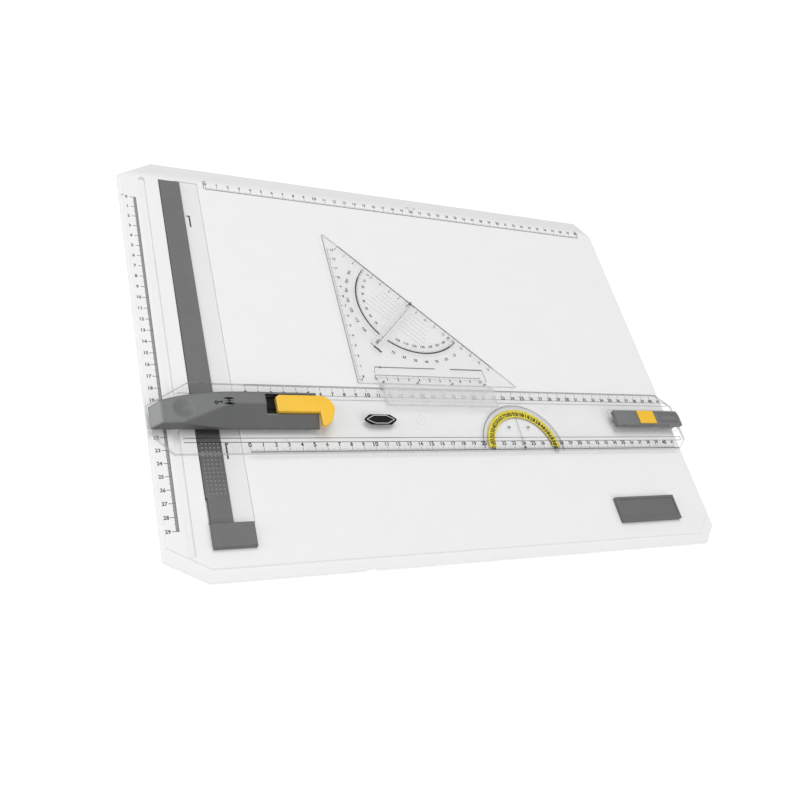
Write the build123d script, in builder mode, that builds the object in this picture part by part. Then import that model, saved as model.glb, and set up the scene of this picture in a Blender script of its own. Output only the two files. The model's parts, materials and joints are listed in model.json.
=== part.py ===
from build123d import *
import os
from math import cos, radians, sin, sqrt

# A3 drawing board with a paper clamp, a sliding parallel rule and a 45 degree set square on the rule.
# Millimetres, +Z up. The board lies flat on its feet, with its long side along X.
# The origin is the centre of the whole footprint, on the table plane.

os.makedirs("parts", exist_ok=True)

# ---------------------------------------------------------------- driving dimensions
# Board
BOARD_W = 492.5
BOARD_D = 367.0
BOARD_X = -2.5          # the rule overhangs the right edge, so the board sits left of the origin
TOP_Z = 20.0            # drawing surface above the table
RIM_Z = 16.0            # underside of the rim that the rule's end hook grips
FIELD_STEP = 1.0        # the drawing field stands this much above the rim band
PLATE_T = 3.0           # wall under the drawing field
LEFT_CUT = (29.0, 17.0)   # corner cut-offs, along X and Y
RIGHT_CUT = (15.0, 16.0)
FOOT_H = 3.0
COVER_WALL = 2.2
COVER_INSET = 4.0       # bottom cover stands back under the rim
COVER_SLOPE = 13.0      # 45 degree flank of the bottom cover

# Guide groove for the rule's head
GROOVE_X = -229.45
GROOVE_W = 5.0
GROOVE_L = 333.0
GROOVE_FLOOR = TOP_Z - 2.2

# Clamp bar and its bed
CLAMP_LEFT = -215.45
CLAMP_RIGHT = -198.45
CLAMP_FRONT = -143.0
CLAMP_BACK = 166.0
CLAMP_TOP = TOP_Z + 0.6
HINGE_X = -212.0
HINGE_Z = 16.0
HINGE_ROD_R = 1.0
KNUCKLE_R = 2.3
KNUCKLE_L = 14.0
KNUCKLE_YS = (-112.0, -34.0, 44.0, 122.0)
SPRING_YS = (-73.0, 83.0)
CLAMP_SPRING_X = -214.5
BED_FLOOR = TOP_Z - 2.2
STRIP_LEFT = -202.6
STRIP_RIGHT = -183.25
STRIP_FLOOR = TOP_Z - 1.8
STRIP_T = 0.8

# Parallel rule
RULE_HALF_W = 249.25
RULE_BACK = -34.1
RULE_FRONT = -92.1
RULE_Z = TOP_Z + 1.8
RULE_T = 3.0
RULE_TOP = RULE_Z + RULE_T
RAIL_YS = (-44.8, -81.5)  # centres of the two rail grooves
RAIL_W = 3.4
RAIL_DEPTH = 1.2

# Head of the rule
HEAD_LEFT = -248.0
HEAD_RIGHT = -122.9
HEAD_FRONT = -73.1
HEAD_BACK = -45.4
HEAD_H = 8.0
HEAD_TOP = RULE_TOP + HEAD_H
HEAD_WALL = 1.8
FACET_SLOPE = 0.4       # rise over run of the sloping front facet
FACET_BASE = 1.0        # upright edge below the facet
FACET_X = -190.0        # right of this the facet has its full width
FACET_TIP_X = -229.5    # the facet runs out to nothing here
LEVER_LEFT = -156.0
LEVER_TRAVEL = 7.5      # the lever is pulled to the right to lock the rule
FINGER_GAP = 8.0        # open end of the slot, for the fingertip that pulls the lever
SLOT_LEFT = LEVER_LEFT - FINGER_GAP
SLOT_FRONT = -62.5
SLOT_BACK = -47.6
TRACK_Z = RULE_TOP + 3.9

# Lock
BRAKE_TRAVEL = 0.5
ROD_Y = -60.0
ROD_W = 4.0
ROD_Z = RULE_TOP + 1.7
ROD_T = 1.6
ROD_RIGHT = -141.0

# Right end
CARRIER = (166.0, 244.6, -73.8, -52.4)
CARRIER_T = 1.2
CAP = (168.5, 247.3, -70.5, -55.4)
CAP_H = 4.8
LATCH_Y = -63.0
LATCH_TRAVEL = 4.0
HOOK_X = 245.0
HOOK_T = 3.2
STEM_X = 200.0
STEM_L = 8.0

# Set square
SQUARE_X = -79.0        # upright edge
SQUARE_Y = -29.0        # level edge
SQUARE_LEG = 154.6
SQUARE_Z = TOP_Z + 1.0
SQUARE_T = 2.0
SQUARE_DOT = (-9.9, 53.6)   # centre of its protractor
GRIP_L = 66.0
GRIP_W = 9.0
RUNNER_LEFT = -60.0
RUNNER_RIGHT = 45.5
RIVET_XS = (-56.0, -24.0, 9.5, 42.0)   # between the printed centimetre marks
RIVET_Y = SQUARE_Y + 1.8
RIVET_R = 0.9

SCREW_XS = (-165.0, 20.0, 205.0)
SCREW_YS = (-150.0, 150.0)
FOOT_XS = (-190.0, 190.0)
FOOT_YS = (-135.0, 135.0)


# ---------------------------------------------------------------- shared shapes
def box(x0, x1, y0, y1, z0, z1, mode=Mode.ADD):
    """A block between two corners, added to or cut from the open part."""
    size = (x1 - x0, y1 - y0, z1 - z0)
    with Locations(((x0 + x1) / 2, (y0 + y1) / 2, (z0 + z1) / 2)):
        Box(*size, mode=mode)


def rod(x, y, z0, z1, radius, mode=Mode.ADD):
    """An upright cylinder between two heights."""
    with Locations((x, y, z0)):
        Cylinder(radius, z1 - z0, align=(Align.CENTER, Align.CENTER, Align.MIN), mode=mode)


def board_outline(left, right, front, back):
    """The board's eight-sided outline, moved in by an amount on each side."""
    x0 = BOARD_X - BOARD_W / 2 + left
    x1 = BOARD_X + BOARD_W / 2 - right
    y0 = -BOARD_D / 2 + front
    y1 = BOARD_D / 2 - back
    with BuildSketch() as outline:
        with BuildLine():
            Polyline(
                (x0, y0 + LEFT_CUT[1]),
                (x0 + LEFT_CUT[0], y0),
                (x1 - RIGHT_CUT[0], y0),
                (x1, y0 + RIGHT_CUT[1]),
                (x1, y1 - RIGHT_CUT[1]),
                (x1 - RIGHT_CUT[0], y1),
                (x0 + LEFT_CUT[0], y1),
                (x0, y1 - LEFT_CUT[1]),
                close=True,
            )
        make_face()
    return outline.sketch


def facet_wedge(drop):
    """Everything above the head's front facet, as two cutters meeting at FACET_X."""
    y_far = HEAD_FRONT - 8
    z_high = HEAD_TOP + 4
    crest = HEAD_FRONT + (HEAD_H - FACET_BASE) / FACET_SLOPE   # where the full facet meets the top

    def section(x, y_crest):
        """Region above the facet line in the upright plane at x."""
        z_crest = HEAD_TOP - drop
        z_far = z_crest - (y_crest - y_far) * FACET_SLOPE
        y_high = y_crest + (z_high - z_crest) / FACET_SLOPE
        with BuildSketch(Plane((x, 0, 0), x_dir=(0, 1, 0), z_dir=(1, 0, 0))) as sketch:
            with BuildLine():
                Polyline((y_far, z_far), (y_high, z_high), (y_far, z_high), close=True)
            make_face()
        return sketch.sketch

    wide = section(FACET_X, crest)
    tip = section(FACET_TIP_X, HEAD_FRONT + 0.3)
    with BuildPart(mode=Mode.PRIVATE) as wedge:
        loft([tip, wide], ruled=True)
        extrude(wide, amount=HEAD_RIGHT - FACET_X + 5)
    return wedge.part


def head_form(inset):
    """The head's outer form, or the same form moved in by a wall thickness."""
    with BuildPart() as form:
        with BuildSketch(Plane.XY.offset(RULE_TOP)):
            with BuildLine():
                front_left = (HEAD_LEFT + inset, HEAD_FRONT + inset)
                front_right = (HEAD_RIGHT - inset, HEAD_FRONT + inset)
                back_right = (HEAD_RIGHT - inset, HEAD_BACK - inset)
                back_left = (HEAD_LEFT + inset, -56.0 - inset)
                Polyline(back_left, front_left, front_right, back_right)
                Spline(
                    back_right,
                    (-175.0, HEAD_BACK - inset),
                    (-219.0, -48.4 - inset),
                    back_left,
                    tangents=((-1, 0), (-1, -0.35)),
                )
            make_face()
        extrude(amount=HEAD_H - inset, taper=4)
        add(facet_wedge(inset), mode=Mode.SUBTRACT)
        bevel = Plane((HEAD_LEFT + inset, 0, RULE_TOP + 0.8), x_dir=(0, 1, 0), z_dir=(1.0, 0, -0.92))
        split(bisect_by=bevel, keep=Keep.TOP)
    return form.part


def coil(start, direction, length, radius, wire, turns):
    """A compression spring of round wire, from its start point along a direction."""
    along = Vector(*direction)
    with BuildPart() as spring:
        with BuildLine() as path:
            Helix(
                pitch=(length - 2 * wire) / turns,
                height=length - 2 * wire,
                radius=radius,
                center=Vector(*start) + along * wire,
                direction=direction,
            )
        with BuildSketch(Plane(origin=path.line @ 0, z_dir=path.line % 0)):
            Circle(wire / 2)
        sweep()
    return spring.part


# ---------------------------------------------------------------- board
PLATE_BOTTOM = TOP_Z - PLATE_T
BED_BOTTOM = RIM_Z - 1.5
SPRING_FLOOR = BED_BOTTOM + 0.7
BED_GAP = 0.5           # gap all round between the clamp bar and its bed
STRIP_BACK = 167.2

with BuildPart() as board_top_shell:
    with BuildSketch(Plane.XY.offset(RIM_Z)):
        add(board_outline(0, 0, 0, 0))
    extrude(amount=TOP_Z - FIELD_STEP - RIM_Z)
    with BuildSketch(Plane.XY.offset(TOP_Z - FIELD_STEP)):
        add(board_outline(2.0, 3.5, 8.5, 5.0))
    extrude(amount=FIELD_STEP, taper=40)
    with BuildSketch(Plane.XY.offset(RIM_Z)):
        add(board_outline(7.5, 7.5, 7.5, 7.5))
    extrude(amount=PLATE_BOTTOM - RIM_Z, mode=Mode.SUBTRACT)
    # stiffening ribs under the drawing field
    for rib_y in (-120, -60, 0, 60, 120):
        box(-179, 226, rib_y - 1, rib_y + 1, 8, PLATE_BOTTOM)
    for rib_x in (-120, -60, 0, 60, 120, 180):
        box(rib_x - 1, rib_x + 1, -160, 160, 8, PLATE_BOTTOM)
    # thick bed under the clamp bar and the paper channel
    box(-219, STRIP_RIGHT + 3, -147, 168.5, BED_BOTTOM, PLATE_BOTTOM)
    # thick bed under the guide groove
    box(GROOVE_X - 7, GROOVE_X + 7, -150, 150, BED_BOTTOM + 0.7, PLATE_BOTTOM)
    # bosses for the cover screws
    for boss_x in SCREW_XS:
        for boss_y in SCREW_YS:
            rod(boss_x, boss_y, FOOT_H + COVER_WALL, PLATE_BOTTOM, 4)
    # guide groove
    with BuildSketch(Plane.XY.offset(TOP_Z)):
        with Locations((GROOVE_X, 0)):
            SlotOverall(GROOVE_L, GROOVE_W, rotation=90)
    extrude(amount=GROOVE_FLOOR - TOP_Z, mode=Mode.SUBTRACT)
    # bed of the clamp bar, and the shallower bed of the paper channel strip
    bed_left = CLAMP_LEFT - BED_GAP
    bed_front = CLAMP_FRONT - BED_GAP
    bed_back = CLAMP_BACK + BED_GAP
    box(bed_left, STRIP_LEFT, bed_front, bed_back, BED_FLOOR, TOP_Z + 1, Mode.SUBTRACT)
    box(STRIP_LEFT, STRIP_RIGHT, bed_front, STRIP_BACK + 0.1, STRIP_FLOOR, TOP_Z + 1, Mode.SUBTRACT)
    # pockets for the hinge knuckles and the return springs
    for knuckle_y in KNUCKLE_YS:
        with Locations((HINGE_X, knuckle_y, (BED_BOTTOM - 1 + BED_FLOOR) / 2)):
            Box(6.4, KNUCKLE_L + 1, BED_FLOOR - BED_BOTTOM + 1, mode=Mode.SUBTRACT)
    for spring_y in SPRING_YS:
        front, back = spring_y - 5, spring_y + 5
        box(bed_left, -206.5, front, back, SPRING_FLOOR, BED_FLOOR, Mode.SUBTRACT)
    with Locations(Location((HINGE_X, 12, HINGE_Z), (90, 0, 0))):
        Cylinder(HINGE_ROD_R, 296, mode=Mode.SUBTRACT)
    # sockets for the pegs of the two paper stops
    for peg_x, peg_y in ((-209, -152.5), (-191.5, -152.5), (150, -149.5), (194, -149.5)):
        rod(peg_x, peg_y, BED_BOTTOM - 1, TOP_Z + 1, 2, Mode.SUBTRACT)
    # pilot holes for the cover screws
    for boss_x in SCREW_XS:
        for boss_y in SCREW_YS:
            rod(boss_x, boss_y, FOOT_H + COVER_WALL, 15, 1.25, Mode.SUBTRACT)
    # finger notch in the front edge
    box(-107, -98, -BOARD_D / 2 - 1, -BOARD_D / 2 + 1.2, RIM_Z - 1, TOP_Z, Mode.SUBTRACT)
board_top_shell.part.label = "board_top_shell"
export_step(board_top_shell.part, "parts/board_top_shell.step")

with BuildPart() as board_bottom_cover:
    with BuildSketch(Plane.XY.offset(FOOT_H)):
        add(board_outline(*[COVER_INSET + COVER_SLOPE] * 4))
    with BuildSketch(Plane.XY.offset(RIM_Z)):
        add(board_outline(*[COVER_INSET] * 4))
    loft(ruled=True)
    inner = COVER_INSET + COVER_WALL * sqrt(2)
    with BuildSketch(Plane.XY.offset(FOOT_H + COVER_WALL)):
        add(board_outline(*[inner + COVER_SLOPE - COVER_WALL] * 4))
    with BuildSketch(Plane.XY.offset(RIM_Z)):
        add(board_outline(*[inner] * 4))
    loft(ruled=True, mode=Mode.SUBTRACT)
    for boss_x in SCREW_XS:
        for boss_y in SCREW_YS:
            rod(boss_x, boss_y, FOOT_H, FOOT_H + COVER_WALL, 1.6, Mode.SUBTRACT)
            rod(boss_x, boss_y, FOOT_H, FOOT_H + 1.2, 3.2, Mode.SUBTRACT)
    for foot_x in FOOT_XS:
        for foot_y in FOOT_YS:
            rod(foot_x, foot_y, FOOT_H, FOOT_H + 1.6, 2.5, Mode.SUBTRACT)
board_bottom_cover.part.label = "board_bottom_cover"
export_step(board_bottom_cover.part, "parts/board_bottom_cover.step")

with BuildPart() as cover_screws:
    for boss_x in SCREW_XS:
        for boss_y in SCREW_YS:
            rod(boss_x, boss_y, FOOT_H + 0.1, FOOT_H + 1.2, 2.9)
            rod(boss_x, boss_y, FOOT_H + 1.2, 13, 1.24)
cover_screws.part.label = "cover_screws"
export_step(cover_screws.part, "parts/cover_screws.step")

with BuildPart() as rubber_feet:
    for foot_x in FOOT_XS:
        for foot_y in FOOT_YS:
            with Locations((foot_x, foot_y, 0)):
                Cone(7, 8, FOOT_H, align=(Align.CENTER, Align.CENTER, Align.MIN))
            rod(foot_x, foot_y, FOOT_H, FOOT_H + 1.5, 2.45)
rubber_feet.part.label = "rubber_feet"
export_step(rubber_feet.part, "parts/rubber_feet.step")

with BuildPart() as paper_channel_strip:
    front = CLAMP_FRONT - 0.4
    strip_top = STRIP_FLOOR + STRIP_T
    box(STRIP_LEFT + 0.1, STRIP_RIGHT - 0.1, front, STRIP_BACK, STRIP_FLOOR, strip_top)
paper_channel_strip.part.label = "paper_channel_strip"
export_step(paper_channel_strip.part, "parts/paper_channel_strip.step")

with BuildPart() as paper_stop_left:
    box(-215.55, -185.15, -161.5, -143.6, TOP_Z, TOP_Z + 4)
    chamfer(faces().sort_by(Axis.Z)[-1].edges(), 0.8)
    for peg_x in (-209, -191.5):
        rod(peg_x, -152.5, TOP_Z - 2.6, TOP_Z, 1.95)
paper_stop_left.part.label = "paper_stop_left"
export_step(paper_stop_left.part, "parts/paper_stop_left.step")

with BuildPart() as paper_stop_right:
    box(138.75, 205.25, -160.7, -138.3, TOP_Z, TOP_Z + 4.6)
    chamfer(faces().sort_by(Axis.Z)[-1].edges(), 0.8)
    box(141.4, 202.6, -158.0, -141.0, TOP_Z + 4.1, TOP_Z + 5, Mode.SUBTRACT)
    for peg_x in (150, 194):
        rod(peg_x, -149.5, TOP_Z - 2.6, TOP_Z, 1.95)
paper_stop_right.part.label = "paper_stop_right"
export_step(paper_stop_right.part, "parts/paper_stop_right.step")

with BuildPart() as clamp_hinge_rod:
    with Locations(Location((HINGE_X, 12, HINGE_Z), (90, 0, 0))):
        Cylinder(HINGE_ROD_R, 295)
clamp_hinge_rod.part.label = "clamp_hinge_rod"
export_step(clamp_hinge_rod.part, "parts/clamp_hinge_rod.step")

with BuildPart() as clamp_springs:
    for spring_y in SPRING_YS:
        add(coil((CLAMP_SPRING_X, spring_y, SPRING_FLOOR), (0, 0, 1), 2.6, 0.95, 0.35, 3))
clamp_springs.part.label = "clamp_springs"
export_step(clamp_springs.part, "parts/clamp_springs.step")

# ---------------------------------------------------------------- clamp bar
with BuildPart() as clamp_bar:
    box(CLAMP_LEFT, CLAMP_RIGHT - 4.6, CLAMP_FRONT, CLAMP_BACK, TOP_Z - 1.8, CLAMP_TOP)
    box(CLAMP_RIGHT - 4.6, CLAMP_RIGHT, CLAMP_FRONT, CLAMP_BACK, TOP_Z - 0.5, CLAMP_TOP)
    chamfer(faces().sort_by(Axis.Z)[-1].edges(), 0.4)
    # step in the left edge near the front end
    box(CLAMP_LEFT - 1, CLAMP_LEFT + 1, -142.2, -124, TOP_Z - 3, CLAMP_TOP + 1, Mode.SUBTRACT)
    # pressing pad: a grid of shallow dimples
    with Locations(((CLAMP_LEFT + CLAMP_RIGHT) / 2, -101.25, CLAMP_TOP)):
        with GridLocations(2.9, 3.2, 5, 13):
            Cylinder(0.8, 0.8, mode=Mode.SUBTRACT)
    # knuckles on the hinge rod
    for knuckle_y in KNUCKLE_YS:
        with Locations(Location((HINGE_X, knuckle_y, HINGE_Z), (90, 0, 0))):
            Cylinder(KNUCKLE_R, KNUCKLE_L)
        y0 = knuckle_y - KNUCKLE_L / 2
        box(HINGE_X - KNUCKLE_R, HINGE_X + KNUCKLE_R, y0, y0 + KNUCKLE_L, HINGE_Z, TOP_Z - 1.8)
        with Locations(Location((HINGE_X, knuckle_y, HINGE_Z), (90, 0, 0))):
            Cylinder(HINGE_ROD_R + 0.06, KNUCKLE_L, mode=Mode.SUBTRACT)
clamp_bar.part.label = "clamp_bar"
export_step(clamp_bar.part, "parts/clamp_bar.step")

with BuildPart() as clamp_grip_strip:
    box(CLAMP_RIGHT - 4.2, CLAMP_RIGHT - 0.4, CLAMP_FRONT + 2, CLAMP_BACK - 2, TOP_Z - 0.9, TOP_Z - 0.5)
clamp_grip_strip.part.label = "clamp_grip_strip"
export_step(clamp_grip_strip.part, "parts/clamp_grip_strip.step")

# ---------------------------------------------------------------- parallel rule
HEAD_SCREWS = ((-214.0, -54.5), (-178.0, -52.0), (-200.0, -67.2))
HEAD_BOSS_HEIGHTS = (7.0, 7.0, 4.2)
END_SCREWS = ((175.0, LATCH_Y), (189.0, LATCH_Y))

with BuildPart() as rule_blade:
    with BuildSketch(Plane.XY.offset(RULE_Z)):
        with BuildLine():
            Polyline(
                (-RULE_HALF_W, -54.0),
                (-RULE_HALF_W, -74.5),
                (-233.5, RULE_FRONT),
                (238.0, RULE_FRONT),
                (RULE_HALF_W, -82.3),
                (RULE_HALF_W, -46.5),
                (234.0, RULE_BACK),
                (-218.0, RULE_BACK),
                close=True,
            )
        make_face()
    extrude(amount=RULE_T)
    chamfer(faces().sort_by(Axis.Z)[-1].edges(), 0.4)
    # two rail grooves along the top
    for rail_y in RAIL_YS:
        front, back = rail_y - RAIL_W / 2, rail_y + RAIL_W / 2
        box(-226, 244, front, back, RULE_TOP - RAIL_DEPTH, RULE_TOP + 1, Mode.SUBTRACT)
    # window for the guide shoe and the brake, and the notch for the end hook
    box(-235.0, -223.9, -71.6, -52.9, RULE_Z - 1, RULE_TOP + 1, Mode.SUBTRACT)
    box(244.4, 251, -67.1, -58.9, RULE_Z - 1, RULE_TOP + 1, Mode.SUBTRACT)
    for hole_x, hole_y in HEAD_SCREWS + END_SCREWS:
        rod(hole_x, hole_y, RULE_Z - 1, RULE_TOP + 1, 1.2, Mode.SUBTRACT)
        rod(hole_x, hole_y, RULE_Z - 1, RULE_Z + 1.3, 2.5, Mode.SUBTRACT)
rule_blade.part.label = "rule_blade"
export_step(rule_blade.part, "parts/rule_blade.step")

with BuildPart() as glide_pads:
    for pad_x, pad_y in ((-150, -84), (-30, -62), (100, -50), (215, -84)):
        rod(pad_x, pad_y, TOP_Z + 0.5, RULE_Z, 4.5)
glide_pads.part.label = "glide_pads"
export_step(glide_pads.part, "parts/glide_pads.step")

with BuildPart() as blank_badge:
    with BuildSketch(Plane.XY.offset(RULE_TOP)):
        with BuildLine():
            Polyline(
                (-84.2, -64.1),
                (-78.2, -68.6),
                (-60.2, -68.6),
                (-54.2, -64.1),
                (-60.2, -59.6),
                (-78.2, -59.6),
                close=True,
            )
        make_face()
        fillet(vertices(), 1.5)
    extrude(amount=0.8)
    chamfer(faces().sort_by(Axis.Z)[-1].edges(), 0.25)
blank_badge.part.label = "blank_badge"
export_step(blank_badge.part, "parts/blank_badge.step")

# ---------------------------------------------------------------- head
with BuildPart() as head_housing:
    add(head_form(0))
    add(head_form(HEAD_WALL), mode=Mode.SUBTRACT)
    # bosses for the head screws, trimmed to the form
    for (hole_x, hole_y), boss_height in zip(HEAD_SCREWS, HEAD_BOSS_HEIGHTS):
        rod(hole_x, hole_y, RULE_TOP, RULE_TOP + boss_height, 2.4)
        rod(hole_x, hole_y, RULE_TOP, RULE_TOP + 3.4, 1.0, Mode.SUBTRACT)
    # slot for the lock lever, open to the right
    box(SLOT_LEFT, HEAD_RIGHT + 2, SLOT_FRONT, SLOT_BACK, RULE_TOP - 1, HEAD_TOP + 2, Mode.SUBTRACT)
    # thumb dimple
    with Locations((-225.5, -60.5, HEAD_TOP + 18.6)):
        Sphere(20, mode=Mode.SUBTRACT)
head_housing.part.label = "head_housing"
export_step(head_housing.part, "parts/head_housing.step")

with BuildPart() as head_chassis:
    box(-206.5, -125.2, -64.0, -49.0, RULE_TOP + 0.1, RULE_TOP + 1.5)
    box(SLOT_LEFT + 0.1, HEAD_RIGHT - 0.3, SLOT_FRONT + 0.1, SLOT_BACK - 0.1, RULE_TOP + 0.1, TRACK_Z)
    # channel for the pull rod
    rod_front = ROD_Y - ROD_W / 2 - 0.6
    rod_back = ROD_Y + ROD_W / 2 + 0.25
    channel_right = ROD_RIGHT + LEVER_TRAVEL + 2.5
    box(SLOT_LEFT - 1, channel_right, rod_front, rod_back, ROD_Z - 0.2, TRACK_Z + 1, Mode.SUBTRACT)
    rod(*HEAD_SCREWS[1], RULE_TOP, TRACK_Z, 2.6, Mode.SUBTRACT)
head_chassis.part.label = "head_chassis"
export_step(head_chassis.part, "parts/head_chassis.step")

with BuildPart() as head_screws:
    for hole_x, hole_y in HEAD_SCREWS:
        rod(hole_x, hole_y, RULE_Z + 0.1, RULE_Z + 1.3, 2.3)
        rod(hole_x, hole_y, RULE_Z + 1.3, RULE_TOP + 3.2, 0.98)
head_screws.part.label = "head_screws"
export_step(head_screws.part, "parts/head_screws.step")

SHOE_FRONT = -71.0
SHOE_BACK = -55.2
SHOE_BOTTOM = GROOVE_FLOOR + 0.3
BRAKE_WINDOW = (-65.7, -58.5)    # gap between the two tongues of the guide shoe
FLANGE_T = 1.5
with BuildPart() as guide_shoe:
    # a frame on the blade, round the brake shoe's window
    box(-237.5, -222.6, SHOE_FRONT, SHOE_BACK, RULE_TOP, RULE_TOP + FLANGE_T)
    box(-233.2, -225.6, *BRAKE_WINDOW, RULE_TOP - 1, RULE_TOP + FLANGE_T + 1, Mode.SUBTRACT)
    # two tongues down into the groove
    half = GROOVE_W / 2 - 0.25
    box(GROOVE_X - half, GROOVE_X + half, SHOE_FRONT, BRAKE_WINDOW[0], SHOE_BOTTOM, RULE_TOP)
    box(GROOVE_X - half, GROOVE_X + half, BRAKE_WINDOW[1], SHOE_BACK, SHOE_BOTTOM, RULE_TOP)
guide_shoe.part.label = "guide_shoe"
export_step(guide_shoe.part, "parts/guide_shoe.step")

with BuildPart() as end_carrier:
    x0, x1, y0, y1 = CARRIER
    with BuildSketch(Plane.XY.offset(RULE_TOP)):
        with Locations(((x0 + x1) / 2, (y0 + y1) / 2)):
            RectangleRounded(x1 - x0, y1 - y0, 2.5)
    extrude(amount=CARRIER_T)
    # post that the latch spring pushes against
    box(232.0, 234.4, LATCH_Y - 1.2, LATCH_Y + 1.2, RULE_TOP + CARRIER_T, RULE_TOP + 4.2)
    for hole_x, hole_y in END_SCREWS:
        rod(hole_x, hole_y, RULE_TOP, RULE_TOP + CARRIER_T, 1.2, Mode.SUBTRACT)
end_carrier.part.label = "end_carrier"
export_step(end_carrier.part, "parts/end_carrier.step")

CAP_Z = RULE_TOP + CARRIER_T
with BuildPart() as end_cover:
    x0, x1, y0, y1 = CAP
    with BuildSketch(Plane.XY.offset(CAP_Z)):
        with BuildLine():
            Polyline((x0, y0), (x1, y0), (x1, y1 - 5), (x1 - 1.6, y1), (x0, y1), close=True)
        make_face()
    extrude(amount=CAP_H)
    chamfer(faces().sort_by(Axis.Z)[-1].edges(), 0.8)
    box(x0 + 1.4, x1 - 1.4, y0 + 1.4, y1 - 1.4, CAP_Z - 1, CAP_Z + CAP_H - 1.4, Mode.SUBTRACT)
    # way out for the latch bar, and the slot for the button's stem
    box(x1 - 2, x1 + 1, LATCH_Y - 3.9, LATCH_Y + 3.9, CAP_Z - 1, CAP_Z + 3.1, Mode.SUBTRACT)
    stem_stop = STEM_X + STEM_L + LATCH_TRAVEL + 0.4
    front, back = LATCH_Y - 2.3, LATCH_Y + 2.3
    box(STEM_X - 0.4, stem_stop, front, back, CAP_Z, CAP_Z + CAP_H + 1, Mode.SUBTRACT)
    for hole_x, hole_y in END_SCREWS:
        rod(hole_x, hole_y, CAP_Z, CAP_Z + CAP_H - 1, 2.4)
        rod(hole_x, hole_y, CAP_Z, CAP_Z + 3.4, 1.0, Mode.SUBTRACT)
    # shallow grip ring at the right-hand end
    with BuildSketch(Plane.XY.offset(CAP_Z + CAP_H)):
        with Locations((232, LATCH_Y)):
            RectangleRounded(24, 10.4, 1.5)
            RectangleRounded(22.8, 9.2, 1.0, mode=Mode.SUBTRACT)
            RectangleRounded(20, 6.4, 1.0)
            RectangleRounded(18.8, 5.2, 0.8, mode=Mode.SUBTRACT)
    extrude(amount=-0.4, mode=Mode.SUBTRACT)
end_cover.part.label = "end_cover"
export_step(end_cover.part, "parts/end_cover.step")

with BuildPart() as end_screws:
    for hole_x, hole_y in END_SCREWS:
        rod(hole_x, hole_y, RULE_Z + 0.1, RULE_Z + 1.3, 2.3)
        rod(hole_x, hole_y, RULE_Z + 1.3, CAP_Z + 3.2, 0.98)
end_screws.part.label = "end_screws"
export_step(end_screws.part, "parts/end_screws.step")

# ---------------------------------------------------------------- lock
LEVER_Z = TRACK_Z + 0.2
LEVER_TOP = HEAD_TOP + 0.2
with BuildPart() as lock_lever:
    with BuildSketch(Plane.XY.offset(LEVER_Z)):
        with BuildLine():
            front = SLOT_FRONT + 0.3
            back = SLOT_BACK - 0.3
            Polyline(
                (-122.4, -73.0),
                (-122.4, front),
                (LEVER_LEFT + 1.2, front),
                (LEVER_LEFT, front + 1.2),
                (LEVER_LEFT, back - 2.0),
                (LEVER_LEFT + 3.0, back),
                (-121.0, back),
            )
            Spline(
                (-121.0, back),
                (-113.4, -51.4),
                (-110.3, -58.4),
                (-113.2, -66.8),
                (-120.6, -74.2),
                tangents=((1, 0), (-1, -0.6)),
            )
            Line((-120.6, -74.2), (-122.4, -73.0))
        make_face()
    extrude(amount=LEVER_TOP - LEVER_Z)
    chamfer(faces().sort_by(Axis.Z)[-1].edges(), 0.5)
    # key that draws the pull rod along
    box(-152.0, ROD_RIGHT, ROD_Y - 1.8, ROD_Y + 1.8, ROD_Z + ROD_T, LEVER_Z)
lock_lever.part.label = "lock_lever"
export_step(lock_lever.part, "parts/lock_lever.step")

with BuildPart() as pull_rod:
    box(-208.0, ROD_RIGHT, ROD_Y - ROD_W / 2, ROD_Y + ROD_W / 2, ROD_Z, ROD_Z + ROD_T)
    box(-209.0, -208.0, ROD_Y - ROD_W / 2, ROD_Y + ROD_W / 2, ROD_Z, ROD_Z + ROD_T + 0.8)
pull_rod.part.label = "pull_rod"
export_step(pull_rod.part, "parts/pull_rod.step")

BRAKE_Y = (BRAKE_WINDOW[0] + 0.5, BRAKE_WINDOW[1] - 0.5)
PAD_X = GROOVE_X + GROOVE_W / 2 - BRAKE_TRAVEL - 0.1    # the pad's face, clear of the groove's wall
PAD_T = 0.9
with BuildPart() as brake_shoe:
    box(PAD_X - PAD_T - 2.7, PAD_X - PAD_T, *BRAKE_Y, SHOE_BOTTOM, RULE_TOP + 2)
    box(-232.0, -221.8, BRAKE_Y[0], ROD_Y + 2, RULE_TOP + 1.8, RULE_TOP + 4.6)
brake_shoe.part.label = "brake_shoe"
export_step(brake_shoe.part, "parts/brake_shoe.step")

with BuildPart() as brake_pad:
    box(PAD_X - PAD_T, PAD_X, BRAKE_Y[0] + 0.2, BRAKE_Y[1] - 0.2, SHOE_BOTTOM, TOP_Z - 0.2)
brake_pad.part.label = "brake_pad"
export_step(brake_pad.part, "parts/brake_pad.step")

with BuildPart() as brake_spring:
    add(coil((-221.8, ROD_Y, ROD_Z + 0.9), (1, 0, 0), 12.8, 1.35, 0.45, 6))
brake_spring.part.label = "brake_spring"
export_step(brake_spring.part, "parts/brake_spring.step")

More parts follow.
